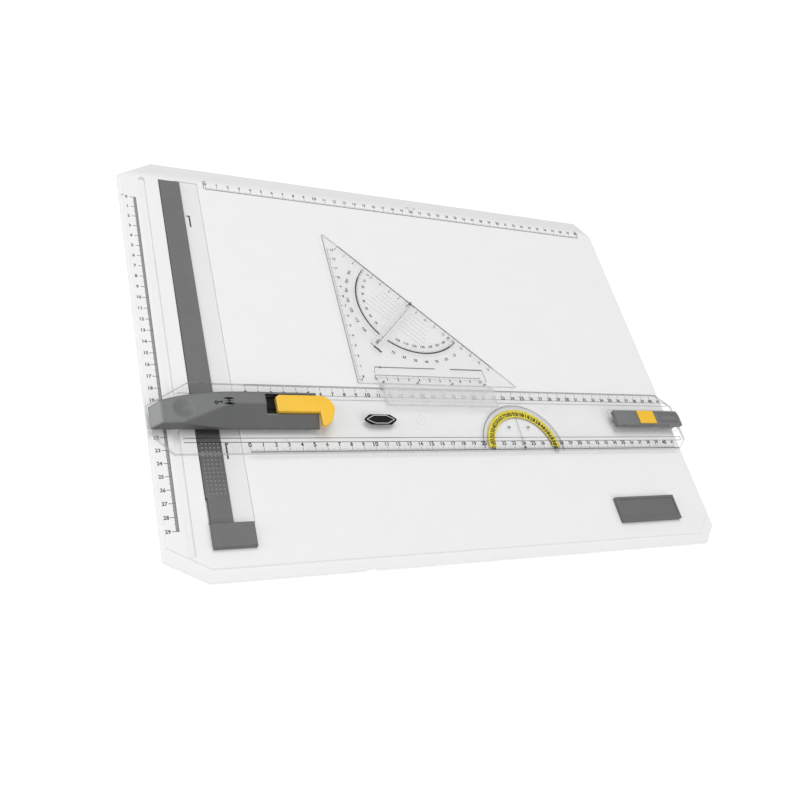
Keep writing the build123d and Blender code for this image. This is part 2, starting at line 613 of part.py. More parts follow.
# ---------------------------------------------------------------- end latch
BAR_Z = CAP_Z + 0.4
BAR_T = 2.0
with BuildPart() as edge_hook:
    box(196.0, HOOK_X + HOOK_T, LATCH_Y - 3.5, LATCH_Y + 3.5, BAR_Z, BAR_Z + BAR_T)
    box(216.0, 238.0, LATCH_Y - 1.9, LATCH_Y + 1.9, BAR_Z - 1, BAR_Z + BAR_T + 1, Mode.SUBTRACT)
    box(HOOK_X, HOOK_X + HOOK_T, LATCH_Y - 3.5, LATCH_Y + 3.5, 13.4, BAR_Z + BAR_T)
    box(240.4, HOOK_X + HOOK_T, LATCH_Y - 3.5, LATCH_Y + 3.5, 13.4, RIM_Z - 0.4)
    # stem up to the button
    box(STEM_X, STEM_X + STEM_L, LATCH_Y - 1.9, LATCH_Y + 1.9, BAR_Z + BAR_T, CAP_Z + CAP_H + 0.2)
edge_hook.part.label = "edge_hook"
export_step(edge_hook.part, "parts/edge_hook.step")

with BuildPart() as end_button:
    box(194.4, 214.0, LATCH_Y - 6.5, LATCH_Y + 6.5, CAP_Z + CAP_H + 0.2, CAP_Z + CAP_H + 1.8)
    chamfer(faces().sort_by(Axis.Z)[-1].edges(), 0.6)
end_button.part.label = "end_button"
export_step(end_button.part, "parts/end_button.step")

with BuildPart() as latch_spring:
    add(coil((216.0, LATCH_Y, BAR_Z + 1.1), (1, 0, 0), 16.0, 1.0, 0.4, 8))
latch_spring.part.label = "latch_spring"
export_step(latch_spring.part, "parts/latch_spring.step")

# ---------------------------------------------------------------- set square
with BuildPart() as set_square_plate:
    with BuildSketch(Plane.XY.offset(SQUARE_Z)):
        with BuildLine():
            Polyline(
                (SQUARE_X, SQUARE_Y),
                (SQUARE_X + SQUARE_LEG, SQUARE_Y),
                (SQUARE_X, SQUARE_Y + SQUARE_LEG),
                close=True,
            )
        make_face()
        fillet(vertices(), 0.8)
    extrude(amount=SQUARE_T)
    chamfer(faces().sort_by(Axis.Z)[-1].edges(), 0.3)
    for rivet_x in RIVET_XS:
        rod(rivet_x, RIVET_Y, SQUARE_Z - 1, SQUARE_Z + SQUARE_T + 1, RIVET_R, Mode.SUBTRACT)
set_square_plate.part.label = "set_square_plate"
export_step(set_square_plate.part, "parts/set_square_plate.step")

RUNNER_TOP = RULE_TOP + 3.2
RUNNER_BACK = SQUARE_Y - 0.1
FLANGE_Z = TOP_Z + 0.15
with BuildPart() as set_square_runner:
    # web behind the rule, its back sloping up and forward to the top
    with BuildSketch(Plane((RUNNER_LEFT, 0, 0), x_dir=(0, 1, 0), z_dir=(1, 0, 0))):
        with BuildLine():
            Polyline(
                (-33.8, FLANGE_Z),
                (RUNNER_BACK, FLANGE_Z),
                (RUNNER_BACK, SQUARE_Z + SQUARE_T + 0.6),
                (-32.4, RUNNER_TOP),
                (-33.8, RUNNER_TOP),
                close=True,
            )
        make_face()
    extrude(amount=RUNNER_RIGHT - RUNNER_LEFT)
    # lip over the rule, and the tongue in its rail groove
    box(RUNNER_LEFT, RUNNER_RIGHT, -51.5, -33.8, RULE_TOP + 0.2, RUNNER_TOP)
    tongue = RAIL_W / 2 - 0.2
    front, back = RAIL_YS[0] - tongue, RAIL_YS[0] + tongue
    box(RUNNER_LEFT, RUNNER_RIGHT, front, back, RULE_TOP - 1.0, RULE_TOP + 0.2)
    chamfer(faces().sort_by(Axis.Z)[-1].edges(), 0.6)
    # thin flange under the plate
    box(RUNNER_LEFT, RUNNER_RIGHT, RUNNER_BACK, -22.0, FLANGE_Z, SQUARE_Z - 0.05)
    for rivet_x in RIVET_XS:
        rod(rivet_x, RIVET_Y, FLANGE_Z - 1, SQUARE_Z, RIVET_R, Mode.SUBTRACT)
set_square_runner.part.label = "set_square_runner"
export_step(set_square_runner.part, "parts/set_square_runner.step")

with BuildPart() as runner_rivets:
    for rivet_x in RIVET_XS:
        rod(rivet_x, RIVET_Y, FLANGE_Z, SQUARE_Z + SQUARE_T, RIVET_R - 0.02)
runner_rivets.part.label = "runner_rivets"
export_step(runner_rivets.part, "parts/runner_rivets.step")

GRIP_MID = (
    SQUARE_DOT[0] - GRIP_L / 2 * cos(radians(45)),
    SQUARE_DOT[1] - GRIP_L / 2 * sin(radians(45)),
)
with BuildPart() as set_square_grip:
    with BuildSketch(Plane.XY.offset(SQUARE_Z + SQUARE_T)):
        with Locations(GRIP_MID):
            RectangleRounded(GRIP_L, GRIP_W, 1.5, rotation=45)
    extrude(amount=1.4)
    with BuildSketch(Plane.XY.offset(SQUARE_Z + SQUARE_T + 1.4)):
        with Locations(GRIP_MID):
            Rectangle(GRIP_L - 6, 3.0, rotation=45)
    extrude(amount=5.0, taper=6)
set_square_grip.part.label = "set_square_grip"
export_step(set_square_grip.part, "parts/set_square_grip.step")
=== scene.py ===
import json
from math import ceil, cos, hypot, radians, sin

import bpy
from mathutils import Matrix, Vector


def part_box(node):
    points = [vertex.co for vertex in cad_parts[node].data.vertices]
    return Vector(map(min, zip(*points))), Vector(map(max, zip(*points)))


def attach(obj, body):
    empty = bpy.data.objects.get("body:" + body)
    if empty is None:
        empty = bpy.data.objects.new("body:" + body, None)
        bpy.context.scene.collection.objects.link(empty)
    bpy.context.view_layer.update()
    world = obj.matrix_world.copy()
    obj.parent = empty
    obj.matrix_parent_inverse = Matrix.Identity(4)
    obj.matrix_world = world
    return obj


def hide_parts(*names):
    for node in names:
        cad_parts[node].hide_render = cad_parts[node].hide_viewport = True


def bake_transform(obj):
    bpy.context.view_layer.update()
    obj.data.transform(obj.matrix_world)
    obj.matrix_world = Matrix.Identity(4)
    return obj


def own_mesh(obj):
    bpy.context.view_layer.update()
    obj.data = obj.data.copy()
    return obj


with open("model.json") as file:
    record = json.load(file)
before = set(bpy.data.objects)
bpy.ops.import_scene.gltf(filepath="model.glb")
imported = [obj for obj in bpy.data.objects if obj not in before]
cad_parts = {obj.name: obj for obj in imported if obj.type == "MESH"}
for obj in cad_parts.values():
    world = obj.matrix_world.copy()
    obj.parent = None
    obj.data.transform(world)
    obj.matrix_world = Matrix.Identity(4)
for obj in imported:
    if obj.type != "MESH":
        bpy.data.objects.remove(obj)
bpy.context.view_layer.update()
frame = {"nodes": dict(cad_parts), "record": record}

# Drawing board with a parallel rule and a set square.
# Lengths are in millimetres in the CAD frame, except in the shaders and the studio, which use metres.
MM = 0.001
INK_RISE = 0.05     # how far print stands above its surface
INK_SINK = 0.02     # how far it reaches into the surface, so that no gap shows
DIAGONAL = cos(radians(45))


def low(node):
    """Lowest corner of a CAD node, in millimetres."""
    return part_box(node)[0] / MM


def high(node):
    """Highest corner of a CAD node, in millimetres."""
    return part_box(node)[1] / MM


FIELD = high("board_top_shell").z             # height of the drawing field
BLADE_TOP = high("rule_blade").z
BLADE_UNDER = low("rule_blade").z
BLADE_BACK = high("rule_blade").y
BLADE_FRONT = low("rule_blade").y
PLATE_TOP = high("set_square_plate").z
PLATE_LEFT = low("set_square_plate").x
PLATE_FRONT = low("set_square_plate").y
PLATE_LEG = 154.6                             # length of the set square's two short sides
HEAD_TOP = high("head_housing").z
FRONT_RAIL = (-83.3, -79.7)                   # the rule's two rail grooves, front and back wall
BACK_RAIL = (-46.6, -43.0)
LEVER_SLOT = (-164.2, -122.0, -62.7, -47.4)   # the head's slot for the lever: left, right, front, back
THUMB_DIMPLE = (-225.5, -60.5, HEAD_TOP)
PIT_FLOOR = high("clamp_bar").z - 0.4         # bottom of the clamp bar's pressing dimples
FLANGE_TOP = low("set_square_plate").z        # the runner's flange lies under the plate

# Zero marks and centres of the print
BACK_SCALE = (-176.25, 162.5)
LEFT_SCALE = (-236.25, 143.1)
RULE_BACK_ZERO = -175.4
RULE_FRONT_ZERO = -179.2
RULE_DOT = (63.8, -88.1)                      # centre of the rule's protractor
SQUARE_DOT = (-9.9, 53.6)                     # centre of the set square's protractor
RUNNER_SCALE = (-62.3, -21.2)


# ---------------------------------------------------------------- node materials
EDGE_GAIN = 4.0         # how soon a turning normal counts as an edge for the painted highlight
HIGHLIGHT_SHARE = 0.6        # how much of the painted highlight's lighter colour shows there


class Shader:
    """A material's node tree, with short calls for the nodes used here."""

    def __init__(self, name):
        self.material = bpy.data.materials.new(name)
        self.material.use_nodes = True
        self.tree = self.material.node_tree
        self.tree.nodes.clear()
        self.output = self.node("ShaderNodeOutputMaterial")
        self.place = self.node("ShaderNodeTexCoord").outputs["Object"]
        self.rounded = None     # normal with rounded edges, once edge() has run

    def node(self, kind, **inputs):
        made = self.tree.nodes.new(kind)
        for key, value in inputs.items():
            self.set(made, key.replace("_", " "), value)
        return made

    def set(self, node, socket, value):
        target = node.inputs[socket]
        if isinstance(value, bpy.types.NodeSocket):
            self.tree.links.new(value, target)
        else:
            target.default_value = value

    def noise(self, scale, detail=3.0, stretch=None):
        """Noise of so many features per metre, 0 to 1."""
        place = self.place
        if stretch:
            mapping = self.node("ShaderNodeMapping", Vector=self.place, Scale=stretch)
            place = mapping.outputs[0]
        made = self.node("ShaderNodeTexNoise", Vector=place, Scale=scale, Detail=detail)
        return made.outputs["Fac"]

    def remap(self, value, from_low, from_high, to_low, to_high):
        """A value's range carried over to another range, and held at its ends."""
        made = self.node("ShaderNodeMapRange", Value=value)
        for socket, number in zip(range(1, 5), (from_low, from_high, to_low, to_high)):
            made.inputs[socket].default_value = number
        return made.outputs[0]

    def math(self, operation, a, b=0.0):
        made = self.node("ShaderNodeMath")
        made.operation = operation
        self.set(made, 0, a)
        self.set(made, 1, b)
        return made.outputs[0]

    def blend(self, factor, a, b):
        """Colour a at factor 0, colour b at factor 1."""
        made = self.node("ShaderNodeMix")
        made.data_type = "RGBA"
        self.set(made, 0, factor)
        self.set(made, 6, a)
        self.set(made, 7, b)
        return made.outputs[2]

    def mix(self, factor, a, b):
        """Shader a at factor 0, shader b at factor 1."""
        made = self.node("ShaderNodeMixShader")
        self.set(made, 0, factor)
        self.set(made, 1, a)
        self.set(made, 2, b)
        return made.outputs[0]

    def times(self, colour, factor):
        made = self.node("ShaderNodeVectorMath")
        made.operation = "SCALE"
        self.set(made, 0, colour)
        self.set(made, "Scale", factor)
        return made.outputs[0]

    def measure(self, operation, a, b=(0.0, 0.0, 0.0)):
        """A number from vectors: DOT_PRODUCT, DISTANCE or LENGTH."""
        made = self.node("ShaderNodeVectorMath")
        made.operation = operation
        self.set(made, 0, a)
        self.set(made, 1, b)
        return made.outputs["Value"]

    def axis(self, vector, name):
        return self.node("ShaderNodeSeparateXYZ", Vector=vector).outputs[name]

    def edge(self, radius):
        """1 along rounded-off edges and 0 on flat faces."""
        bevel = self.node("ShaderNodeBevel", Radius=radius)
        bevel.samples = 4
        self.rounded = bevel.outputs[0]
        flat = self.node("ShaderNodeNewGeometry").outputs["Normal"]
        turned = self.math("SUBTRACT", 1.0, self.measure("DOT_PRODUCT", self.rounded, flat))
        return self.node("ShaderNodeClamp", Value=self.math("MULTIPLY", turned, EDGE_GAIN)).outputs[0]

    def finish(self, surface):
        self.tree.links.new(surface, self.output.inputs["Surface"])
        return self.material


def scaled(colour, factor):
    """A colour made lighter or darker, as red, green, blue and alpha."""
    return (*[min(1.0, channel * factor) for channel in colour], 1.0)


def moulded(name, colour, roughness, grain, depth, edge_radius, edge_light=1.25, mottle=0.05,
            edge_colour=None, tone=None, gloss=0.5):
    """Moulded plastic: fine grain, a faint mottle, and rounded edges with a painted highlight, a lighter
    colour along them.

    grain is in features per metre, depth is the grain's bump in millimetres, and gloss is the specular
    level. tone gives a factor for the colour, for painted light and shade. edge_light or edge_colour sets
    the painted highlight.
    """
    s = Shader(name)
    lit_edge = s.edge(edge_radius * MM)
    mottled = s.remap(s.noise(45.0, 4.0), 0.3, 0.7, 0.0, 1.0)
    body = s.blend(mottled, scaled(colour, 1 - mottle), scaled(colour, 1 + mottle))
    if tone:
        body = s.times(body, tone(s))
    # painted highlight: a lighter colour along the rounded edges
    highlight = (*edge_colour, 1.0) if edge_colour else scaled(colour, edge_light)
    base = s.blend(s.math("MULTIPLY", lit_edge, HIGHLIGHT_SHARE), body, highlight)
    bump = s.node("ShaderNodeBump", Height=s.noise(grain, 2.0), Normal=s.rounded)
    s.set(bump, "Strength", 0.35)
    s.set(bump, "Distance", depth * MM)
    rough = s.remap(s.noise(300.0, 3.0), 0.3, 0.7, roughness - 0.05, roughness + 0.07)
    bsdf = s.node("ShaderNodeBsdfPrincipled", Base_Color=base, Roughness=rough, Normal=bump.outputs[0])
    s.set(bsdf, "Specular IOR Level", gloss)
    return s.finish(bsdf.outputs[0])


def pressed_end(s):
    """Painted shadow of the rule's head on the clamp bar: darker in front of the head, most next to it,
    less towards the stop.
    """
    y = s.axis(s.place, "Y")
    towards_stop = s.remap(y, -0.128, -0.088, 0.95, 0.66)
    next_to_head = s.remap(y, -0.089, -0.083, 1.0, 0.62)
    behind_rule = s.remap(y, -0.068, -0.064, 0.0, 1.0)
    return s.math("MAXIMUM", s.math("MULTIPLY", towards_stop, next_to_head), behind_rule)


def head_tone(s):
    """Painted light and shade on the head: paler towards its left end, palest on that end's bevel, darker
    on its front facet.

    The thumb dimple keeps the tone of the flat top around it.
    """
    along = s.remap(s.axis(s.place, "X"), -0.190, -0.245, 1.0, 1.12)
    bevel = s.remap(s.axis(s.rounded, "X"), -0.08, -0.3, 1.0, 1.9)
    facet = s.remap(s.axis(s.rounded, "Y"), -0.05, -0.35, 1.0, 0.74)
    change = s.math("SUBTRACT", s.math("MULTIPLY", bevel, facet), 1.0)
    from_dimple = s.measure("DISTANCE", s.place, Vector(THUMB_DIMPLE) * MM)
    outside = s.remap(from_dimple, 0.0070, 0.0085, 0.0, 1.0)
    return s.math("MULTIPLY", along, s.math("ADD", 1.0, s.math("MULTIPLY", outside, change)))


def board_tone(s):
    """Painted light and shade on the shell: its walls that face front or left are brighter, and its low
    rim along the back darker.
    """
    front_wall = s.remap(s.axis(s.rounded, "Y"), -0.5, -0.95, 1.0, 1.08)
    left_wall = s.remap(s.axis(s.rounded, "X"), -0.5, -0.95, 1.0, 1.05)
    back_rim = s.remap(s.axis(s.place, "Y"), 0.166, 0.174, 1.0, 0.88)
    left_rim = s.remap(s.axis(s.place, "X"), -0.222, -0.236, 1.0, 1.01)
    walls = s.math("MULTIPLY", front_wall, left_wall)
    return s.math("MULTIPLY", walls, s.math("MULTIPLY", back_rim, left_rim))


def beside_dark(s):
    """Darkens a rail wall where it mirrors the head and the badge."""
    x = s.axis(s.place, "X")
    badge_x = (low("blank_badge").x + high("blank_badge").x) / 2 * MM
    head = s.remap(x, -0.124, -0.108, 0.22, 1.0)
    badge = s.remap(s.math("ABSOLUTE", s.math("SUBTRACT", x, badge_x)), 0.012, 0.020, 0.3, 1.0)
    return s.math("MINIMUM", head, badge)


def clear_plastic(name, tint, edge_grey, edge_share, haze=0.0, milk_tone=0.9, edge_tone=None):
    """Clear sheet: tinted by each surface, reflecting at a glance, with a painted grey shade on its
    upright edges.

    edge_share is how much of the painted grey shade an edge shows, and haze how milky the whole sheet is.
    """
    s = Shader(name)
    geometry = s.node("ShaderNodeNewGeometry").outputs
    cloud = s.remap(s.noise(60.0, 3.0), 0.3, 0.7, -0.004, 0.004)
    tone = s.math("ADD", cloud, tint)
    colour = s.node("ShaderNodeCombineColor", Red=tone, Green=tone, Blue=tone)
    see = s.node("ShaderNodeBsdfTransparent", Color=colour.outputs[0]).outputs[0]
    rough = s.remap(s.noise(900.0, 2.0, (1.0, 6.0, 1.0)), 0.3, 0.7, 0.05, 0.16)
    shine = s.node("ShaderNodeBsdfAnisotropic", Roughness=rough).outputs[0]
    glance = s.node("ShaderNodeLayerWeight", Blend=0.08).outputs["Fresnel"]
    front = s.math("SUBTRACT", 1.0, geometry["Backfacing"])
    sheet = s.mix(s.math("MULTIPLY", s.math("MULTIPLY", glance, front), 0.6), see, shine)
    milk = s.node("ShaderNodeBsdfDiffuse", Color=(milk_tone, milk_tone, milk_tone, 1.0)).outputs[0]
    sheet = s.mix(haze, sheet, milk)
    # painted shade: the upright faces turn grey, standing in for the light bent in a clear edge
    flatness = s.math("ABSOLUTE", s.axis(geometry["Normal"], "Z"))
    side = s.remap(flatness, 0.5, 0.95, edge_share, 0.0)
    streak = s.remap(s.noise(400.0, 2.0), 0.3, 0.7, 0.85, 1.15)
    grey = s.math("MULTIPLY", streak, edge_grey)
    if edge_tone:
        grey = s.math("MULTIPLY", grey, edge_tone(s))
    edge_colour = s.node("ShaderNodeCombineColor", Red=grey, Green=grey, Blue=grey)
    edge_shade = s.node("ShaderNodeBsdfPrincipled", Base_Color=edge_colour.outputs[0], Roughness=0.25)
    sheet = s.mix(side, sheet, edge_shade.outputs[0])
    # light passes on almost unchanged, so a clear part throws only a faint shadow
    shadow = s.node("ShaderNodeLightPath").outputs["Is Shadow Ray"]
    faint = s.node("ShaderNodeBsdfTransparent", Color=(0.988, 0.988, 0.988, 1.0)).outputs[0]
    return s.finish(s.mix(s.math("MULTIPLY", shadow, 1.0 - haze), sheet, faint))


def ink(name, colour, cover=1.0):
    """Screen-printed ink, matt and slightly uneven. With cover below 1 the surface shows through."""
    s = Shader(name)
    uneven = s.remap(s.noise(1400.0, 2.0), 0.35, 0.65, 0.0, 1.0)
    base = s.blend(uneven, scaled(colour, 0.85), scaled(colour, 1.2))
    rough = s.remap(s.noise(500.0, 2.0), 0.3, 0.7, 0.45, 0.65)
    bsdf = s.node("ShaderNodeBsdfPrincipled", Base_Color=base, Roughness=rough).outputs[0]
    if cover < 1.0:
        see = s.node("ShaderNodeBsdfTransparent").outputs[0]
        bsdf = s.mix(cover, see, bsdf)
    return s.finish(bsdf)


def brushed_metal(name, colour, roughness):
    """Metal with fine lines along Z, which also vary its roughness."""
    s = Shader(name)
    lines = s.noise(2500.0, 3.0, (1.0, 1.0, 0.08))
    rough = s.remap(lines, 0.3, 0.7, roughness - 0.08, roughness + 0.1)
    base = s.blend(s.noise(200.0, 3.0), scaled(colour, 0.85), scaled(colour, 1.1))
    bump = s.node("ShaderNodeBump", Height=lines, Strength=0.3, Distance=0.02 * MM)
    bsdf = s.node("ShaderNodeBsdfPrincipled", Base_Color=base, Roughness=rough, Normal=bump.outputs[0])
    s.set(bsdf, "Metallic", 1.0)
    return s.finish(bsdf.outputs[0])


DARK = (0.138, 0.141, 0.138)
FINISHES = {
    # the board's tone is painted light and shade
    "board_white": moulded(
        "board_white", (0.865, 0.868, 0.868), roughness=0.38, grain=2600.0, depth=0.03,
        edge_radius=0.2, edge_light=1.02, mottle=0.008, tone=board_tone, gloss=0.2),
    "light_grey": moulded(
        "light_grey", (0.785, 0.79, 0.79), roughness=0.45, grain=2600.0, depth=0.03,
        edge_radius=0.3, edge_light=1.1, mottle=0.012),
    "dark_grey": moulded(
        "dark_grey", DARK, roughness=0.5, grain=3400.0, depth=0.06, edge_radius=0.35, edge_light=1.5),
    # the head's tone is painted light and shade
    "head_grey": moulded(
        "head_grey", (0.150, 0.153, 0.154), roughness=0.42, grain=2800.0, depth=0.05,
        edge_radius=2.4, edge_light=1.35, mottle=0.03, tone=head_tone),
    "black": moulded(
        "black", (0.009, 0.009, 0.009), roughness=0.6, grain=3000.0, depth=0.04,
        edge_radius=0.3, edge_light=2.0, mottle=0.1, gloss=0.15),
    # the yellow's edge_colour is a pale painted highlight along the lever's edges
    "yellow": moulded(
        "yellow", (0.93, 0.545, 0.027), roughness=0.36, grain=2400.0, depth=0.04,
        edge_radius=0.6, mottle=0.03, edge_colour=(1.0, 0.74, 0.24)),
    "acetal": moulded(
        "acetal", (0.80, 0.80, 0.77), roughness=0.35, grain=1800.0, depth=0.02,
        edge_radius=0.3, edge_light=1.05, mottle=0.02),
    "rubber": moulded(
        "rubber", (0.03, 0.03, 0.03), roughness=0.75, grain=4200.0, depth=0.08,
        edge_radius=0.3, edge_light=1.6, mottle=0.1),
    "clear": clear_plastic("clear", tint=0.988, edge_grey=0.50, edge_share=0.55),
    "frosted": clear_plastic(
        "frosted", tint=0.985, edge_grey=0.68, edge_share=0.45, haze=0.35, milk_tone=0.78),
    "steel": brushed_metal("steel", (0.62, 0.63, 0.64), roughness=0.32),
}

for part in frame["record"]["subparts"]:
    node = frame["nodes"][part["node"]]
    node.data.materials.clear()
    node.data.materials.append(FINISHES[part["material_slot"]])

OWN_FINISHES = {
    "end_cover": moulded(
        "cap_grey", (0.178, 0.180, 0.188), roughness=0.42, grain=2800.0, depth=0.05,
        edge_radius=0.5, edge_light=1.4, mottle=0.04),
    # the clamp bar's tone is the painted shadow of the rule's head
    "clamp_bar": moulded(
        "clamp_grey", DARK, roughness=0.5, grain=3400.0, depth=0.06,
        edge_radius=0.35, edge_light=1.5, tone=pressed_end),
    "glide_pads": clear_plastic("pad_clear", tint=0.985, edge_grey=0.80, edge_share=0.10, haze=0.05),
}
for node_name, material in OWN_FINISHES.items():
    frame["nodes"][node_name].data.materials[0] = material


def refinish(node, material, chosen):
    """Give a second material to those faces of a CAD node whose centre and normal are chosen."""
    target = frame["nodes"][node]
    target.data.materials.append(material)
    for polygon in target.data.polygons:
        centre = target.matrix_world @ polygon.center / MM
        if chosen(centre, polygon.normal):
            polygon.material_index = len(target.data.materials) - 1


def in_rail(rail):
    """Picks the upright walls of one of the rule's rail grooves."""
    return lambda centre, normal: abs(normal.y) > 0.9 and rail[0] < centre.y < rail[1]


def in_slot(centre, normal):
    """Picks the upright walls of the head's slot for the lever, which get black as painted shade in the
    slot.
    """
    left, right, front, back = LEVER_SLOT
    return abs(normal.z) < 0.5 and left < centre.x < right and front < centre.y < back


def in_pit(centre, normal):
    """Picks the floors of the clamp bar's pressing dimples."""
    return normal.z > 0.9 and abs(centre.z - PIT_FLOOR) < 0.05


def on_lit_chamfer(centre, normal):
    """Picks the lever's narrow top chamfers along its back and its left end, which get a painted
    highlight.
    """
    return 0.3 < normal.z < 0.95 and (normal.y > 0.2 or normal.x < -0.2)


PIT_GREY = moulded(
    "pit_grey", (0.27, 0.275, 0.27), roughness=0.5, grain=3400.0, depth=0.02,
    edge_radius=0.1, edge_light=1.2)
# painted highlight: a paler yellow for the lever's lit chamfers
LEVER_HIGHLIGHT = moulded(
    "lever_highlight", (1.0, 0.70, 0.20), roughness=0.3, grain=2400.0, depth=0.02, edge_radius=0.2)
# painted shade: the rail grooves' upright walls in dark grey, for the light bent at the ridges
FRONT_RAIL_SHADE = clear_plastic(
    "front_rail_shade", tint=0.988, edge_grey=0.16, edge_share=0.9, edge_tone=beside_dark)
BACK_RAIL_SHADE = clear_plastic("back_rail_shade", tint=0.988, edge_grey=0.35, edge_share=0.7)
# painted shade: a darker grey on the plate's left edge and on the grip's shadowed sides
SQUARE_EDGE_SHADE = clear_plastic("square_edge_shade", tint=0.988, edge_grey=0.28, edge_share=0.8)
GRIP_SIDE_SHADE = clear_plastic("grip_side_shade", tint=0.97, edge_grey=0.26, edge_share=0.75)

refinish("clamp_bar", PIT_GREY, in_pit)
# painted shade: black on the slot's walls
refinish("head_housing", FINISHES["black"], in_slot)
refinish("lock_lever", LEVER_HIGHLIGHT, on_lit_chamfer)
# painted shade on the rail walls
refinish("rule_blade", FRONT_RAIL_SHADE, in_rail(FRONT_RAIL))
refinish("rule_blade", BACK_RAIL_SHADE, in_rail(BACK_RAIL))
refinish("set_square_runner", FINISHES["clear"], lambda centre, normal: centre.z < FLANGE_TOP)
# painted shade on the plate's left edge and the grip's sides
refinish("set_square_plate", SQUARE_EDGE_SHADE, lambda centre, normal: normal.x < -0.9)
refinish("set_square_grip", GRIP_SIDE_SHADE, lambda centre, normal: abs(normal.z) < 0.6)

BLACK_INK = ink("black_ink", (0.018, 0.018, 0.02))
DARK_INK = ink("dark_ink", (0.06, 0.06, 0.062))
GREY_INK = ink("grey_ink", (0.16, 0.16, 0.165))
PALE_INK = ink("pale_ink", (0.42, 0.42, 0.43), cover=0.8)
RING_INK = ink("ring_ink", (0.25, 0.25, 0.25), cover=0.42)
YELLOW_INK = ink("yellow_ink", (0.85, 0.70, 0.045), cover=0.92)
WHITE_INK = ink("white_ink", (0.75, 0.75, 0.74))


# ---------------------------------------------------------------- print
def glyphs(text):
    """Outline mesh of a short line of figures, centred on the origin, 1 high: corners and faces."""
    curve = bpy.data.curves.new("figures", "FONT")
    curve.body = text
    curve.size = 1.4          # makes a figure 1 high
    curve.align_x = "CENTER"
    curve.align_y = "CENTER"
    curve.resolution_u = 2
    curve.offset = 0.045      # thickens the strokes
    curve.fill_mode = "FRONT"
    holder = bpy.data.objects.new("figures", curve)
    bpy.context.scene.collection.objects.link(holder)
    bpy.context.view_layer.update()
    mesh = holder.evaluated_get(bpy.context.evaluated_depsgraph_get()).to_mesh()
    # corners in the same place become one, and faces that lose a corner go
    places = [(round(vertex.co.x, 5), round(vertex.co.y, 5)) for vertex in mesh.vertices]
    index = {place: i for i, place in enumerate(dict.fromkeys(places))}
    loops = [[index[places[i]] for i in polygon.vertices] for polygon in mesh.polygons]
    faces = [loop for loop in loops if len(set(loop)) == len(loop)]
    bpy.data.objects.remove(holder)
    bpy.data.curves.remove(curve)
    heights = [y for _, y in index]
    middle = (min(heights) + max(heights)) / 2
    return [(x, y - middle) for x, y in index], faces


